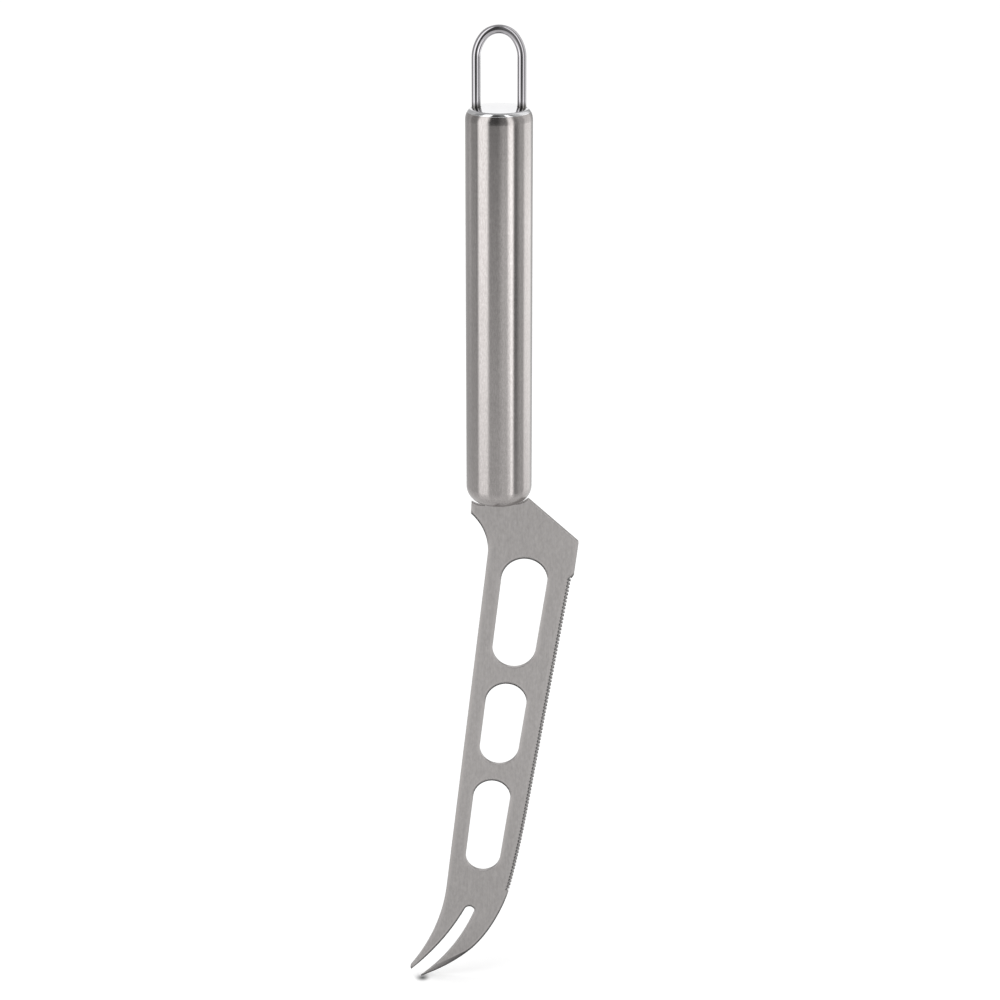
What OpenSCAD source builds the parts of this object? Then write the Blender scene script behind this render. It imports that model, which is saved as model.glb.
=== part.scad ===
// Cheese knife: a pierced, fork-ended blade welded into a hollow round handle with a hanging loop.
// The knife hangs by its loop. The origin is the inside top of the loop, where a hook bears.
// The handle's axis is z, the serrated edge is towards +x and the blade's front face towards -y.

/* [Handle] */
// Outside diameter of the handle tube
handle_d = 19; // [18.5:0.5:22]
// Sheet thickness of the handle tube
tube_wall = 0.7; // [0.5:0.1:1]
// Length of the tube, from its closed end to the seam under the cap
tube_length = 115; // [90:1:140]
// Corner radius of the closed end
dome_r = 5; // [4.6:0.1:5.2]
// Radius of the inward curve at the open end
mouth_r = 4.5; // [4:0.1:6]
// Height of that curve, up to the seam
mouth_height = 2.2; // [1.5:0.1:2.6]

/* [Cap] */
// Height of the cap's polished edge, from the seam to the rim
cap_edge_height = 0.65; // [0.4:0.05:0.9]
// Height of the crown above the rim
crown_height = 1; // [0.8:0.1:1.6]
// Radius of the round from the rim to the crown
rim_round_r = 0.85; // [0.5:0.05:0.95]
// Depth of the spigot that sits in the tube's mouth
spigot_depth = 1.5; // [1:0.1:2]

/* [Hanging loop] */
// Wire diameter
wire_d = 2.5; // [2.2:0.1:2.8]
// Clear width between the legs
eye_width = 10.2; // [9.6:0.1:10.6]
// Height from the cap's rim to the inside top of the loop
eye_height = 21; // [16:0.5:28]
// The arch's centres lie 3 of these up the axis and 4 across; a longer one makes a tighter top
arch_step_length = 0.78; // [0.5:0.02:1.1]
// Length of leg that stands out below the spigot
leg_tail = 1.2; // [0.8:0.1:2]

/* [Blade] */
// Thickness of the blade sheet
blade_thickness = 1.5; // [1.2:0.1:2]
// Length of tang inside the handle
tang_length = 14; // [8:1:30]
// Straight run of the spine
spine_length = 109.6; // [100:0.2:112]
// Angle of the spine to the handle's axis
spine_angle = 6.7; // [6:0.1:7.2]
// Height at which the serrated edge's straight run ends above the end of the spine's
edge_end_height = 25.2; // [22:0.1:27]
// Angle of the serrated edge to the handle's axis
edge_angle = 9.5; // [9:0.1:10]
// Pitch of the fine teeth
tooth_pitch = 1.13; // [1:0.01:1.6]

/* [Slots] */
// Depth of the first slot's centre below the handle
slot_drop = 24.65; // [23.4:0.05:27]
// Radius of the first slot's upper end
slot_r = 6.84; // [6:0.02:7]
// Sideways angle of the row of slots
slot_angle = 7.8; // [7.4:0.1:8.2]
// Centre distance of each slot's two ends, as a share of the spine's straight run
slot_run_shares = [0.198, 0.134, 0.1805]; // [0.1:0.0005:0.2]
// Distance from one slot's last centre to the next slot's first centre, as shares of the same
slot_bridge_shares = [0.164, 0.1545]; // [0.15:0.0005:0.18]

/* [Fork] */
// Radius of the round root of the gap
fork_root_r = 1.6; // [1.3:0.05:1.8]
// Depth of the gap's root beyond the end of the spine's straight run
fork_depth = 7.35; // [6:0.05:9]
// Distance of the root from the line of the spine
fork_inset = 7.85; // [7.4:0.05:8.3]

/* [Hidden] */
$fn = 96;
overrun = 1;
fit_gap = 0.05;
leg_gap = 0.15;
arc_sag = 0.01;
// Straight cuts join their round ends this far inside the circle, so the two cross cleanly
join_inset = 0.01;

// Heights of the handle
handle_r = handle_d / 2;
flat_r = handle_r - dome_r;
seam_z = -eye_height - cap_edge_height;
rim_z = seam_z + cap_edge_height;
bottom_z = seam_z - tube_length;
underside_z = seam_z - spigot_depth;

// Tang and its slot in the closed end; its ends stay on the end's flat
tang_w = 2 * (flat_r - tube_wall / 2);
bead_leg = 0.9;
bead_inset = 0.3;
bead_nugget = 0.6;
nugget_share = 0.85;

// Shoulders of the blade, cut round the handle's closed end
right_gap = 0.85;
left_gap = 1.2;
right_sweep = 43.65;
left_sweep = 34.8;

// Runs of the spine: the neck's side, the neck's hollow, the straight and the upper prong
neck_side_length = 3.55;
neck_side_angle = -3.6;
neck_top_angle = 47.4;
neck_r = 15.5;
spine_tail_r = 54.9;
spine_tail_turn = -31.3;
prong_tip_r = 0.65;
prong_tip_turn = 120;

// Runs of the edge: the sloping back, the heel, the step, the teeth, the belly and the lower prong
back_slope_length = 19.75;
back_slope_angle = 47.85;
heel_r = 0.5;
heel_length = 10.1;
heel_angle = -7.3;
step_length = 1.35;
step_angle = -34;
edge_ease_r = 377;
edge_ease_turn = -3.44;
belly_r = 56.9;
belly_turn = -20.2;
kink_turn = -1.05;
tip_r = 41.2;
tip_turn = -37.3;

// Sides of the gap in the fork
gap_left_angle = -28.2;
gap_left_r = 74;
gap_left_turn = -24;
gap_right_angle = -21.5;
gap_right_r = 53.5;
gap_right_turn = -33;
gap_exit_length = 12;

// The row of slots starts at this distance from the axis and narrows along the blade
slot_side = 7.45;
slot_taper_share = 0.0169;

// Fine teeth: round gullets, ground in at a steep angle from the front
tooth_start = 0.35;
tooth_end_run = 4.4;
gullet_r = 0.52;
gullet_angle = 62;
gullet_back_depth = 0.3;
gullet_reach = 3;

// Ground facet on the front of the lower prong, placed from the gap's root
facet_angle = 24;
facet_run_length = 15.85;
facet_bearing = -14.4;
facet_heading = -62;

// Unit direction of a heading: 0 points down the handle's axis, positive towards the edge side
function ahead(a) = [sin(a), -cos(a)];
// Unit direction at right angles to a heading, towards the edge side
function beside(a) = [cos(a), sin(a)];

// A run is [length, 0, heading] for a straight or [radius, turn, first heading] for an arc
function run_end(p, run) =
    run[1] == 0 ? p + run[0] * ahead(run[2])
    : p + sign(run[1]) * run[0] * (beside(run[2]) - beside(run[2] + run[1]));
function arc_steps(radius, turn) = max(2, ceil(abs(turn) / (2 * acos(1 - arc_sag / radius))));
function run_points(p, run) =
    run[1] == 0 ? [run_end(p, run)]
    : let (n = arc_steps(run[0], run[1]))
      [for (i = [1 : n]) run_end(p, [run[0], run[1] * i / n, run[2]])];
function path_points(p, runs, i = 0) =
    i == len(runs) ? []
    : concat(run_points(p, runs[i]), path_points(run_end(p, runs[i]), runs, i + 1));
function reversed(list) = [for (i = [len(list) - 1 : -1 : 0]) list[i]];

// Outline points are [x, depth], with the depth measured from the handle's closed end
right_centre = [flat_r, dome_r];
left_centre = [-flat_r, dome_r];
right_r = dome_r + right_gap;
left_r = dome_r + left_gap;
right_steps = arc_steps(right_r, right_sweep);
left_steps = arc_steps(left_r, left_sweep);
right_turn = right_sweep / right_steps;
left_turn = left_sweep / left_steps;
right_shoulder = [for (i = [0 : right_steps]) right_centre + right_r * ahead(i * right_turn)];
left_shoulder = [for (i = [0 : left_steps]) left_centre + left_r * ahead(-i * left_turn)];
right_corner = right_shoulder[len(right_shoulder) - 1];
left_corner = left_shoulder[len(left_shoulder) - 1];

spine_runs = [
    [neck_side_length, 0, neck_side_angle],
    [neck_r, -neck_top_angle - spine_angle, neck_top_angle],
    [spine_length, 0, -spine_angle],
    [spine_tail_r, spine_tail_turn, -spine_angle],
    [prong_tip_r, prong_tip_turn, spine_tail_turn - spine_angle],
];
heel_runs = [
    [back_slope_length, 0, back_slope_angle],
    [heel_r, heel_angle - back_slope_angle, back_slope_angle],
    [heel_length, 0, heel_angle],
    [step_length, 0, step_angle],
];
spine_start = run_end(run_end(left_corner, spine_runs[0]), spine_runs[1]);
spine_end = spine_start + spine_length * ahead(-spine_angle);
heel_points = path_points(right_corner, heel_runs);
edge_start = heel_points[len(heel_points) - 1];
edge_length = (edge_start[1] - spine_end[1] - edge_end_height) / cos(edge_angle);
ease_heading = edge_ease_turn - edge_angle;
belly_heading = ease_heading + belly_turn;
tooth_runs = [
    [edge_length, 0, -edge_angle],
    [edge_ease_r, edge_ease_turn, -edge_angle],
    [belly_r, belly_turn, ease_heading],
];
tip_runs = [[tip_r, tip_turn, belly_heading + kink_turn]];
tooth_points = path_points(edge_start, tooth_runs);
tip_points = path_points(tooth_points[len(tooth_points) - 1], tip_runs);

// The gap's two sides leave the root circle where they touch it
gap_root = spine_end + fork_depth * ahead(-spine_angle) + fork_inset * beside(-spine_angle);
gap_left_start = gap_root - (fork_root_r - join_inset) * beside(gap_left_angle);
gap_right_start = gap_root + (fork_root_r - join_inset) * beside(gap_right_angle);
gap_left_exit = gap_left_angle + gap_left_turn;
gap_right_exit = gap_right_angle + gap_right_turn;
gap_left_runs = [[gap_left_r, gap_left_turn, gap_left_angle], [gap_exit_length, 0, gap_left_exit]];
gap_right_runs = [[gap_right_r, gap_right_turn, gap_right_angle], [gap_exit_length, 0, gap_right_exit]];

// The three slots, as distances along the row of their first and last centres
slot_runs = slot_run_shares * spine_length;
slot_bridges = slot_bridge_shares * spine_length;
slot_start_2 = slot_runs[0] + slot_bridges[0];
slot_start_3 = slot_start_2 + slot_runs[1] + slot_bridges[1];
slot_spans = [
    [0, slot_runs[0]],
    [slot_start_2, slot_start_2 + slot_runs[1]],
    [slot_start_3, slot_start_3 + slot_runs[2]],
];
function slot_centre(s) = [slot_side, -slot_drop] + s * ahead(-slot_angle);
function slot_radius(s) = slot_r - s * slot_taper_share;

// Place and heading on the toothed edge at a distance along it
ease_run = edge_ease_r * abs(edge_ease_turn) * PI / 180;
function turned(radius, distance) = -distance / radius * 180 / PI;
function edge_place(s) =
    s < edge_length ? [edge_start + s * ahead(-edge_angle), -edge_angle]
    : s < edge_length + ease_run
        ? let (a = turned(edge_ease_r, s - edge_length), p = run_end(edge_start, tooth_runs[0]))
          [run_end(p, [edge_ease_r, a, -edge_angle]), a - edge_angle]
        : let (a = turned(belly_r, s - edge_length - ease_run),
               p = run_end(run_end(edge_start, tooth_runs[0]), tooth_runs[1]))
          [run_end(p, [belly_r, a, ease_heading]), ease_heading + a];
toothed_run = edge_length + ease_run + tooth_end_run;
tooth_count = floor((toothed_run - tooth_start) / tooth_pitch);

// Half of the handle's section up to its top, drawn in from the outside by a wall
module handle_half(inset) {
    translate([0, inset]) square([flat_r, tube_length - mouth_height - inset]);
    translate([0, dome_r]) square([handle_r - inset, tube_length - mouth_height - dome_r]);
    intersection() {
        translate([flat_r, dome_r]) circle(dome_r - inset);
        square([handle_r, dome_r]);
    }
    mouth_half(inset, mouth_height);
}

// Half of the inward curve at the top, from where it starts to a height above that
module mouth_half(inset, height) {
    translate([0, tube_length - mouth_height]) {
        square([handle_r - mouth_r, height]);
        intersection() {
            translate([handle_r - mouth_r, 0]) circle(mouth_r - inset);
            square([handle_r, height]);
        }
    }
}

function mouth_radius(inset, height) =
    handle_r - mouth_r + sqrt(pow(mouth_r - inset, 2) - pow(height, 2));

// Closed tube with the tang's slot in its end
module handle_tube() {
    slot_w = tang_w + 2 * fit_gap;
    slot_t = blade_thickness + 2 * fit_gap;
    color("silver") translate([0, 0, bottom_z]) difference() {
        rotate_extrude() handle_half(0);
        rotate_extrude() handle_half(tube_wall);
        translate([0, 0, tube_length - fit_gap])
            cylinder(h = fit_gap + overrun, r = mouth_radius(tube_wall, mouth_height));
        translate([-slot_w / 2, -slot_t / 2, -overrun]) cube([slot_w, slot_t, tube_wall + 2 * overrun]);
    }
}

// Crowned cap with a spigot in the tube's mouth and two holes for the loop's legs
rim_r = mouth_radius(0, mouth_height + cap_edge_height);
spigot_r = mouth_radius(tube_wall, mouth_height) - fit_gap;
rim_lean = asin((mouth_height + cap_edge_height) / mouth_r);
round_reach = rim_round_r + join_inset;
round_centre = [rim_r, 0] - round_reach * ahead(90 + rim_lean);
round_depth = crown_height - round_centre[1];
crown_r = (pow(round_centre[0], 2) + pow(round_depth, 2) - pow(round_reach, 2))
    / (2 * (round_depth - round_reach));
crown_edge_r = round_centre[0] * crown_r / (crown_r - round_reach);
cap_height = spigot_depth + cap_edge_height + crown_height;
leg_x = (eye_width + wire_d) / 2;
module end_cap() {
    color("whitesmoke") difference() {
        union() {
            translate([0, 0, underside_z]) cylinder(h = spigot_depth, r = spigot_r);
            translate([0, 0, bottom_z]) rotate_extrude() difference() {
                mouth_half(0, mouth_height + cap_edge_height);
                translate([0, tube_length - mouth_height]) square([handle_r, mouth_height]);
            }
            translate([0, 0, rim_z]) rotate_extrude() {
                intersection() {
                    translate([0, crown_height - crown_r]) circle(crown_r);
                    square([crown_edge_r, crown_height]);
                }
                intersection() {
                    translate(round_centre) circle(rim_round_r);
                    square([rim_r, crown_height]);
                }
            }
        }
        for (side = [-1, 1])
            translate([side * leg_x, 0, underside_z - overrun])
                cylinder(h = cap_height + 2 * overrun, r = wire_d / 2 + leg_gap);
    }
}

// Polished wire: two straight legs and an arch of three arcs
// The top's centre lies above the springing line and the shoulders' centres beside the axis;
// the arcs meet on the line through both centres, so their radii differ by the distance between.
arch_rise = 3 * arch_step_length;
arch_reach = 4 * arch_step_length;
arch_side_r = leg_x + arch_reach;
arch_top_r = arch_side_r - norm([arch_reach, arch_rise]);
arch_angle = atan2(arch_rise, arch_reach);
spring_z = wire_d / 2 - arch_top_r - arch_rise;
leg_end_z = underside_z - leg_tail;
module wire_arc(radius, first, last) {
    rotate([90, 0, 0]) rotate_extrude(start = first, angle = last - first)
        translate([radius, 0]) circle(wire_d / 2);
}
module hanging_loop() {
    color("gainsboro") for (side = [0, 1]) mirror([side, 0, 0]) {
        translate([leg_x, 0, leg_end_z]) cylinder(h = spring_z - leg_end_z, r = wire_d / 2);
        translate([-arch_reach, 0, spring_z]) wire_arc(arch_side_r, 0, arch_angle);
        translate([0, 0, spring_z + arch_rise]) wire_arc(arch_top_r, arch_angle, 90);
    }
}

// Two weld nuggets that hold the legs' ends under the cap
module loop_weld() {
    nugget_r = wire_d / 2 + bead_nugget;
    nugget_h = leg_tail + bead_nugget;
    color("darkgray") for (side = [-1, 1])
        translate([side * leg_x, 0, underside_z]) mirror([0, 0, 1]) difference() {
            cylinder(h = nugget_h, r1 = nugget_r, r2 = nugget_r * nugget_share);
            translate([0, 0, -overrun]) cylinder(h = leg_tail + overrun, r = wire_d / 2 + fit_gap);
        }
}

// Weld bead along each side of the tang, where it enters the handle's closed end
module blade_weld() {
    bead_length = tang_w - 2 * bead_inset;
    color("darkgray") for (side = [0, 1]) mirror([0, side, 0])
        translate([-bead_length / 2, blade_thickness / 2, bottom_z])
            rotate([90, 0, 90]) linear_extrude(bead_length) intersection() {
                circle(bead_leg);
                translate([0, -bead_leg]) square(bead_leg);
            }
}

// Outline of the plate before it is pierced
module blank() {
    polygon(concat(
        [[-tang_w / 2, tang_length], [tang_w / 2, tang_length], [tang_w / 2, -right_gap]],
        right_shoulder,
        heel_points,
        tooth_points,
        tip_points,
        reversed(path_points(left_corner, spine_runs)),
        reversed(left_shoulder),
        [[-tang_w / 2, -left_gap]]
    ));
}

// One slot: two round ends joined by the lines that touch both
module slot(span) {
    r1 = slot_radius(span[0]);
    r2 = slot_radius(span[1]);
    tilt = asin((r1 - r2) / (span[1] - span[0]));
    out = beside(-slot_angle - tilt);
    back = -beside(-slot_angle + tilt);
    c1 = slot_centre(span[0]);
    c2 = slot_centre(span[1]);
    w1 = r1 - join_inset;
    w2 = r2 - join_inset;
    translate(c1) circle(r1);
    translate(c2) circle(r2);
    polygon([c1, c1 + w1 * out, c2 + w2 * out, c2, c2 + w2 * back, c1 + w1 * back]);
}

// The curved gap between the two prongs, open at the tips
module fork_gap() {
    translate(gap_root) circle(fork_root_r);
    polygon(concat(
        [gap_root, gap_right_start],
        path_points(gap_right_start, gap_right_runs),
        reversed(path_points(gap_left_start, gap_left_runs)),
        [gap_left_start]
    ));
}

// Gullets between the teeth, each a round-bottomed cut that starts further in on the front face
module gullets() {
    axis_y = gullet_back_depth * tan(gullet_angle) + blade_thickness / 2 - gullet_r / cos(gullet_angle);
    for (i = [0 : tooth_count]) {
        place = edge_place(tooth_start + i * tooth_pitch);
        translate([place[0][0], axis_y, place[0][1]]) rotate([0, -place[1], 0])
            rotate([0, 0, gullet_angle]) rotate([0, 90, 0])
                linear_extrude(2 * gullet_reach, center = true) {
                    circle(gullet_r);
                    translate([-gullet_r, -gullet_reach]) square([2 * gullet_r, gullet_reach]);
                }
    }
}

// Facet ground on the front of the lower prong, down to a thin outer edge
module tip_facet() {
    place = gap_root + facet_run_length * ahead(facet_bearing);
    translate([place[0], -blade_thickness / 2, place[1]])
        rotate([0, -facet_heading, 0]) rotate([0, 0, facet_angle])
            translate([0, -tip_r, -tip_r]) cube([tip_r, tip_r, 2 * tip_r]);
}

module blade() {
    color("darkgray") translate([0, 0, bottom_z]) difference() {
        rotate([90, 0, 0]) linear_extrude(blade_thickness, center = true) difference() {
            blank();
            for (span = slot_spans) slot(span);
            fork_gap();
        }
        gullets();
        tip_facet();
    }
}

blade();
blade_weld();
handle_tube();
end_cap();
hanging_loop();
loop_weld();
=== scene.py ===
"""A cheese knife that stands on its fork tip: its steel finishes, a pale studio and the camera."""
import math

import bpy
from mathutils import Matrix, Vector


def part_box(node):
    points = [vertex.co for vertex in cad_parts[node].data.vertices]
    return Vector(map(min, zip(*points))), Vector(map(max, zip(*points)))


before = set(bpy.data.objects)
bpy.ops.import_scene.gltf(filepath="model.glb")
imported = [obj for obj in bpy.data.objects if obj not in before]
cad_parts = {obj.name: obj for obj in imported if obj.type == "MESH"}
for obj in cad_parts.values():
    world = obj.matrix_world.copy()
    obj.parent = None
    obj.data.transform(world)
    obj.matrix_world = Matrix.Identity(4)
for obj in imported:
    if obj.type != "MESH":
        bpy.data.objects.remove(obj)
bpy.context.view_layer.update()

# Blade: one stamped stainless plate, 1.5 mm thick, with a fine-toothed edge. Its
# faces are ground with a fine belt along the blade, which leaves hairlines and a
# soft, slightly warm grey. The gullets between the teeth are ground in last.
MM = 0.001


class Value:
    """A number that changes over a surface. Sums and products of values add Math nodes."""

    def __init__(self, finish, socket):
        self.finish = finish
        self.socket = socket

    def math(self, operation, first, second):
        return self.finish.node(
            "ShaderNodeMath", {"operation": operation}, {0: first, 1: second}
        )

    def __add__(self, other):
        return self.math("ADD", self, other)

    def __radd__(self, other):
        return self.math("ADD", other, self)

    def __sub__(self, other):
        return self.math("SUBTRACT", self, other)

    def __rsub__(self, other):
        return self.math("SUBTRACT", other, self)

    def __mul__(self, other):
        return self.math("MULTIPLY", self, other)

    def __rmul__(self, other):
        return self.math("MULTIPLY", other, self)

    def at_least(self, least):
        return self.math("MAXIMUM", self, least)


class Finish:
    """The nodes of a material or of the room: node() adds one, shade() feeds the shader."""

    def __init__(self, owner, shader="Principled BSDF"):
        owner.use_nodes = True
        self.owner = owner
        self.tree = owner.node_tree
        self.shader = self.tree.nodes[shader]

    def feed(self, socket, value):
        if isinstance(value, Value):
            self.tree.links.new(value.socket, socket)
        else:
            socket.default_value = value

    def node(self, kind, settings, inputs, output=0):
        node = self.tree.nodes.new(kind)
        for name, setting in settings.items():
            setattr(node, name, setting)
        for name, value in inputs.items():
            self.feed(node.inputs[name], value)
        return Value(self, node.outputs[output])

    def shade(self, sockets):
        for name, value in sockets.items():
            self.feed(self.shader.inputs[name], value)

    def point(self):
        """The surface point, in metres."""
        return self.node("ShaderNodeTexCoord", {}, {}, "Object")

    def facing(self):
        """The way the face points, before any bump."""
        return self.node("ShaderNodeNewGeometry", {}, {}, "Normal")

    def part_of(self, vector, axis):
        return self.node("ShaderNodeSeparateXYZ", {}, {"Vector": vector}, axis)

    def place(self, scale, turn=(0.0, 0.0, 0.0)):
        """The surface point, turned and scaled: a texture's features are 1 / scale long."""
        return self.node(
            "ShaderNodeMapping",
            {},
            {"Vector": self.point(), "Rotation": turn, "Scale": scale},
        )

    def noise(self, place, detail=2.0, roughness=0.5):
        return self.node(
            "ShaderNodeTexNoise",
            {},
            {"Vector": place, "Scale": 1.0, "Detail": detail, "Roughness": roughness},
            "Fac",
        )

    def blend(self, amount, first, second):
        """A colour between two others."""
        inputs = {"Factor": amount, "B": (*second, 1.0)}
        inputs["A"] = first if isinstance(first, Value) else (*first, 1.0)
        return self.node("ShaderNodeMix", {"data_type": "RGBA"}, inputs, "Result")

    def relief(self, height, depth, under=None):
        """A normal from heights of 0 to 1, with the given depth, over another normal."""
        inputs = {"Height": height, "Strength": 1.0, "Distance": depth}
        if under is not None:
            inputs["Normal"] = under
        return self.node("ShaderNodeBump", {}, inputs)

    def softened_edges(self, radius):
        return self.node("ShaderNodeBevel", {"samples": 8}, {"Radius": radius})

    def edge(self, softened):
        """Nothing on a flat face, rising to about 0.3 at a square edge."""
        return 1.0 - self.node(
            "ShaderNodeVectorMath",
            {"operation": "DOT_PRODUCT"},
            {0: self.facing(), 1: softened},
            "Value",
        )


def new_finish(name):
    return Finish(bpy.data.materials.new(name))


def wear(name, finish):
    """The finish goes on a CAD node in place of its plain material."""
    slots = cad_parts[name].data.materials
    slots.clear()
    slots.append(finish.owner)


blade_lean = (0.0, math.radians(7.8), 0.0)
blade_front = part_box("blade")[0].y
# How deep from the front face the painted shade in the gullets reaches.
gullet_shade_depth = 0.92 * MM
edge_reach = 2.2 * MM

blade_steel = new_finish("blade_steel")
hairline = blade_steel.noise(
    blade_steel.place((3400.0, 3400.0, 110.0), blade_lean), 3.0, 0.6
)
belt_grain = blade_steel.noise(
    blade_steel.place((1800.0, 1800.0, 700.0), blade_lean), 2.0, 0.7
)

# Painted shade puts a dark line on edges that point down, and a painted highlight
# puts a glint on all but those that point up.
round_edge = blade_steel.softened_edges(edge_reach)
edge_rise = blade_steel.part_of(round_edge, "Z")
edge = blade_steel.edge(round_edge)
edge_shade = (edge * 12.0 - 0.5).at_least(0.0) * (-0.12 - edge_rise * 2.2).at_least(0.0)
edge_glint = (edge * 80.0 - 1.0).at_least(0.0) * (0.35 - edge_rise * 1.5).at_least(0.0)

# The gullets are the blade's only steep faces, and painted shade darkens them near
# the front. Painted shade also darkens what points down: the lower prong's facet,
# and the lower sides of the plate and of its slots.
face_y = blade_steel.part_of(blade_steel.facing(), "Y")
face_z = blade_steel.part_of(blade_steel.facing(), "Z")
depth = blade_steel.part_of(blade_steel.point(), "Y") - blade_front
steepness = face_y * face_y
gullet_shade = (
    (14.0 - steepness * 20.0).at_least(0.0)
    * steepness
    * (1.0 - face_z).at_least(0.0)
    * ((gullet_shade_depth - depth) * 2500.0).at_least(0.0)
)
underside_shade = (face_z * -1.15).at_least(0.0)

# The belt grain's colour, with the painted highlight of the edge glint added in.
ground_steel_and_glint = blade_steel.blend(
    hairline * 0.6 + belt_grain * 1.2 - 0.45 + edge_glint,
    (0.325, 0.310, 0.304),
    (0.475, 0.455, 0.447),
)
blade_steel.shade({
    "Base Color": blade_steel.blend(
        edge_shade + gullet_shade + underside_shade, ground_steel_and_glint, (0.04, 0.04, 0.04)
    ),
    "Metallic": 1.0,
    "Roughness": 0.27 + hairline * 0.14,
    "Anisotropic": 0.4,
    "Normal": blade_steel.relief(
        hairline, 0.004 * MM, blade_steel.softened_edges(0.32 * MM)
    ),
})
wear("blade", blade_steel)

# Handle: a 19 mm stainless tube, closed and rounded at the blade's end. It is
# satin ground round its girth, so its reflections run as clean upright bands.
handle_steel = new_finish("handle_steel")
girth_line = handle_steel.noise(handle_steel.place((60.0, 60.0, 5200.0)), 3.0, 0.6)
cloud = handle_steel.noise(handle_steel.place((160.0, 160.0, 90.0)))
satin_grain = handle_steel.noise(handle_steel.place((3000.0, 3000.0, 900.0)))
handle_steel.shade({
    "Base Color": handle_steel.blend(
        girth_line * 0.5 + cloud * 0.5 + satin_grain * 1.8 - 0.9,
        (0.336, 0.316, 0.309),
        (0.426, 0.403, 0.394),
    ),
    "Metallic": 1.0,
    "Roughness": 0.175 + girth_line * 0.06,
    "Anisotropic": 0.9,
    "Anisotropic Rotation": 0.25,
    "Normal": handle_steel.relief(
        girth_line, 0.002 * MM, handle_steel.softened_edges(0.15 * MM)
    ),
})
wear("handle_tube", handle_steel)

# End cap: a crowned stainless disc that closes the tube's mouth, mirror
# polished on its crown and on its narrow edge, where the satin handle ends.
cap_steel = new_finish("cap_steel")
smudge = cap_steel.noise(cap_steel.place((260.0, 260.0, 260.0)), 3.0)
cap_steel.shade({
    "Base Color": cap_steel.blend(smudge, (0.58, 0.58, 0.59), (0.66, 0.66, 0.67)),
    "Metallic": 1.0,
    "Roughness": 0.04 + smudge * 0.05,
    "Normal": cap_steel.softened_edges(0.35 * MM),
})
wear("end_cap", cap_steel)

# Hanging loop: polished 2.5 mm stainless wire, bent to a long arch and welded
# in under the cap. Drawing the wire leaves faint lines along it, and its feet
# are darker where they enter the cap.
cap_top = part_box("end_cap")[1].z
foot_length = 1.2 * MM
wire_steel = new_finish("wire_steel")
draw_line = wire_steel.noise(wire_steel.place((2600.0, 2600.0, 60.0)))
height = wire_steel.part_of(wire_steel.point(), "Z")
bright_wire = wire_steel.blend(draw_line, (0.40, 0.39, 0.405), (0.475, 0.463, 0.482))
wire_steel.shade({
    "Base Color": wire_steel.blend(
        (cap_top + foot_length - height) * 800.0, bright_wire, (0.16, 0.155, 0.15)
    ),
    "Metallic": 1.0,
    "Roughness": 0.07 + draw_line * 0.05,
    "Normal": wire_steel.relief(draw_line, 0.002 * MM),
})
wear("hanging_loop", wire_steel)

# Weld metal: the beads that fix the tang in the handle's end and the nuggets
# that fix the loop under the cap. It is left as welded, rippled and heat-tinted.
weld_steel = new_finish("weld_steel")
ripple = weld_steel.node(
    "ShaderNodeTexWave",
    {"wave_type": "BANDS", "bands_direction": "X"},
    {
        "Vector": weld_steel.point(),
        "Scale": 650.0,
        "Distortion": 3.0,
        "Detail": 2.0,
    },
    "Fac",
)
heat_tint = weld_steel.noise(weld_steel.place((500.0, 500.0, 500.0)))
weld_steel.shade({
    "Base Color": weld_steel.blend(heat_tint, (0.40, 0.37, 0.35), (0.30, 0.26, 0.23)),
    "Metallic": 1.0,
    "Roughness": 0.34 + ripple * 0.2,
    "Normal": weld_steel.relief(ripple, 0.05 * MM),
})
wear("blade_weld", weld_steel)
wear("loop_weld", weld_steel)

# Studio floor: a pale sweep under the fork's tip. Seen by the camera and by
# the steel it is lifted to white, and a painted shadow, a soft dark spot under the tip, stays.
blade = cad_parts["blade"]
floor_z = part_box("blade")[0].z
floor_half = 2.6
floor_lift = 0.32
floor_mesh = bpy.data.meshes.new("floor")
floor_mesh.from_pydata(
    [
        (-floor_half, -floor_half, floor_z),
        (floor_half, -floor_half, floor_z),
        (floor_half, floor_half, floor_z),
        (-floor_half, floor_half, floor_z),
    ],
    [],
    [(0, 1, 2, 3)],
)
floor = bpy.data.objects.new("floor", floor_mesh)
bpy.context.scene.collection.objects.link(floor)

tip = min(
    (blade.matrix_world @ vertex.co for vertex in blade.data.vertices),
    key=lambda point: point.z,
)
# Painted shadow: a soft dark spot on the floor just under the tip.
contact_shadow_centre = (tip.x + 0.5 * MM, tip.y - 2.1 * MM, floor_z)
contact_shadow_radius = 3.0 * MM

floor_paint = new_finish("floor_paint")
from_centre = floor_paint.node(
    "ShaderNodeVectorMath",
    {"operation": "DISTANCE"},
    {
        0: floor_paint.node("ShaderNodeNewGeometry", {}, {}, "Position"),
        1: contact_shadow_centre,
    },
    "Value",
)
contact_shadow = (1.0 - from_centre * (1.0 / contact_shadow_radius)).at_least(0.0)
contact_shadow = contact_shadow * contact_shadow * (2.6 - contact_shadow * 1.7)
camera_ray, glossy_ray, through_ray = (
    floor_paint.node("ShaderNodeLightPath", {}, {}, f"Is {kind} Ray")
    for kind in ("Camera", "Glossy", "Transmission")
)
seen = camera_ray + 0.85 * (glossy_ray + through_ray)
floor_paint.shade({
    "Base Color": floor_paint.blend(contact_shadow, (0.90, 0.90, 0.90), (0.08, 0.08, 0.08)),
    "Roughness": 0.9,
    "Specular IOR Level": 0.0,
    "Emission Color": floor_paint.blend(
        seen * (1.0 - contact_shadow), (0.0, 0.0, 0.0), (1.0, 1.0, 1.0)
    ),
    "Emission Strength": floor_lift,
})
floor_mesh.materials.append(floor_paint.owner)

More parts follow.
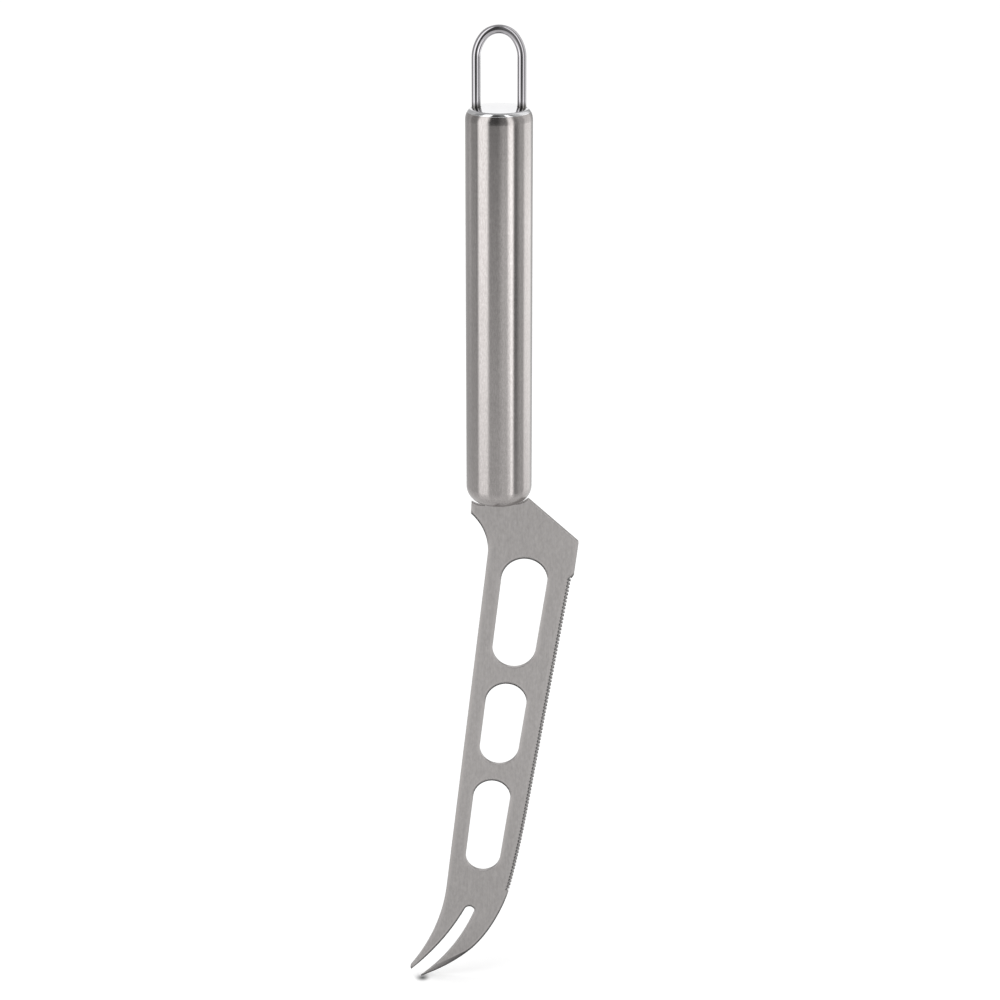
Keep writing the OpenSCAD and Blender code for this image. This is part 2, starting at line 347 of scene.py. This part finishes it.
# Studio room: even pale walls and one broad soft lamp overhead. The walls light the
# floor at less than they show, which leaves the lamp its share and the shadow its depth.
wall_light = 0.6
room = Finish(bpy.data.worlds.new("room"), "Background")
bpy.context.scene.world = room.owner
bounced = room.node("ShaderNodeLightPath", {}, {}, "Is Diffuse Ray")
room.shade({"Color": (1.0, 1.0, 1.0, 1.0), "Strength": 1.0 - bounced * (1.0 - wall_light)})

lamp_size = 4.8
lamp_brightness = 1.7
lamp = bpy.data.lights.new("overhead_lamp", "AREA")
lamp.shape = "SQUARE"
lamp.size = lamp_size
lamp.energy = lamp_brightness * math.pi * lamp_size**2
lamp_object = bpy.data.objects.new("overhead_lamp", lamp)
lamp_object.location = (-1.4, -1.0, 5.2)
lamp_object.rotation_euler = (math.radians(-12), math.radians(-16), 0)
lamp_object.visible_camera = False
lamp_object.visible_glossy = False
bpy.context.scene.collection.objects.link(lamp_object)

# Studio panels: a ring of tall panels round the knife, lit and dark, under a pale
# roof. Only the steel reflects them, which gives the handle its upright bands. Their
# brightness is in round steps, which started from levels fitted to the photo's bands.
panels = (
    # from and to which bearing, in degrees from the camera's side, and how bright
    # near the floor, at the handle's top and above it
    (-164, -125, 0.6, 0.7, 0.6),  # dim wall behind on the left
    (-119, -113, 0.6, 1.0, 0.7),  # paler strip of it
    (-105, -86, 0.6, 0.7, 0.4),  # grey card
    (-82, -79, 0.6, 0.3, 0.4),  # dark gap beside the soft box
    (-71, -42, 1.8, 2.4, 2.1),  # broad soft box on the left
    (-32, -3, 0.7, 0.7, 0.1),  # dark card beside the camera
    (14, 27, 0.8, 1.6, 0.3),  # grey wall behind the camera
    (34, 38, 1.0, 3.7, 1.9),  # inner half of the narrow soft box, raised off the floor
    (42, 46, 2.5, 3.4, 2.1),  # its outer half, which stands on the floor
    (54, 62, 0.2, 0.2, 0.4),  # black card
    (76, 91, 0.6, 0.9, 0.7),  # grey wall on the right
    (99, 130, 1.6, 2.3, 1.2),  # broad soft box behind on the right
    (150, 164, 0.7, 0.5, 0.5),  # dim wall behind it
)
panel_edges = [
    (bearing, *levels) for start, end, *levels in panels for bearing in (start, end)
]
back_half_width = 18  # degrees
ring_floor = floor_z + MM

# The ring's rows, from the middle of the floor up to the roof. Each has its radius
# and height, which of the panels' brightnesses it takes, with 1.5 between the first
# two, the back wall's brightness, and a plain brightness with its share in the row.
panel_rows = (
    # The rows on the floor dim towards the middle: painted shade, which the steel reflects in
    # place of the knife's own shadow on the floor.
    (0.004, ring_floor, 1, 0.20, 0.20, 1.0),
    (0.009, ring_floor, 1, 0.32, 0.32, 1.0),
    (0.016, ring_floor, 1, 0.80, 0.80, 1.0),
    (0.03, ring_floor, 1, 0.87, 0.87, 1.0),
    (0.08, ring_floor, 1, 0.84, 0.84, 1.0),
    (0.15, ring_floor, 1, 0.98, 0.98, 1.0),
    (0.25, ring_floor, 1, 0.98, 0.98, 0.8),
    (0.42, ring_floor, 1, 0.80, 1.02, 0.6),
    (0.42, -0.265, 1, 0.60, 1.00, 0.0),
    (0.42, -0.17, 1.5, 0.80, 1.00, 0.0),
    (0.42, -0.125, 2, 1.00, 1.00, 0.0),
    (0.42, -0.10, 3, 1.02, 1.00, 0.0),
    (0.42, 0.26, 3, 1.48, 1.00, 0.0),
    (0.42, 0.34, 3, 0.60, 0.70, 0.0),
    (0.30, 0.62, 3, 0.55, 0.70, 0.0),
    (0.20, 0.72, 3, 0.55, 0.55, 1.0),
)
bearings = range(-180, 180, 2)


def panel_level(bearing, brightness):
    """The brightness at a bearing: it is even on a panel and ramps between two."""
    for first, last in zip(panel_edges, panel_edges[1:]):
        if first[0] <= bearing <= last[0]:
            share = (bearing - first[0]) / (last[0] - first[0])
            below, above = (
                first[i] + share * (last[i] - first[i])
                for i in (math.floor(brightness), math.ceil(brightness))
            )
            return below + (brightness - math.floor(brightness)) * (above - below)


ring_points = []
ring_levels = []
for radius, height, brightness, back, plain, share in panel_rows:
    for bearing in bearings:
        angle = math.radians(bearing)
        ring_points.append(
            (radius * math.sin(angle), -radius * math.cos(angle), height)
        )
        is_back = abs(bearing) > 180 - back_half_width
        level = back if is_back else panel_level(bearing, brightness)
        ring_levels.append(level + share * (plain - level))
columns = len(bearings)
ring_faces = [
    (
        row * columns + i,
        row * columns + (i + 1) % columns,
        (row + 1) * columns + (i + 1) % columns,
        (row + 1) * columns + i,
    )
    for row in range(len(panel_rows) - 1)
    for i in range(columns)
]
for first in (0, len(ring_points) - columns):
    ring_faces.append(tuple(range(first, first + columns)))
ring_mesh = bpy.data.meshes.new("light_panels")
ring_mesh.from_pydata(ring_points, [], ring_faces)
glow = ring_mesh.attributes.new("glow", "FLOAT", "POINT")
glow.data.foreach_set("value", ring_levels)
light_panels = bpy.data.objects.new("light_panels", ring_mesh)
bpy.context.scene.collection.objects.link(light_panels)
light_panels.visible_camera = False
light_panels.visible_diffuse = False
light_panels.visible_shadow = False
light_panels.visible_transmission = False
light_panels.visible_volume_scatter = False

panel_cloth = new_finish("panel_cloth")
panel_cloth.shade({
    "Base Color": (0.0, 0.0, 0.0, 1.0),
    "Specular IOR Level": 0.0,
    "Emission Color": panel_cloth.node(
        "ShaderNodeAttribute", {"attribute_name": "glow"}, {}, "Color"
    ),
    "Emission Strength": 1.0,
})
ring_mesh.materials.append(panel_cloth.owner)

# Camera: level with the knife's sides and 19.5 degrees above it, with its aim
# point on the handle's axis where the tube closes.
elevation = math.radians(19.5)
aim = (0.278 * MM, 0.0, -136.40 * MM)
distance = 798.3 * MM
camera_data = bpy.data.cameras.new("camera")
camera_data.sensor_width = 36.0
camera_data.lens = 98.34
camera_data.clip_start = 0.01
camera = bpy.data.objects.new("camera", camera_data)
camera.location = (
    aim[0],
    aim[1] - distance * math.cos(elevation),
    aim[2] + distance * math.sin(elevation),
)
camera.rotation_euler = (math.pi / 2 - elevation, 0.0, 0.0)
bpy.context.scene.collection.objects.link(camera)
bpy.context.scene.camera = camera
bpy.context.scene.view_settings.view_transform = "Standard"
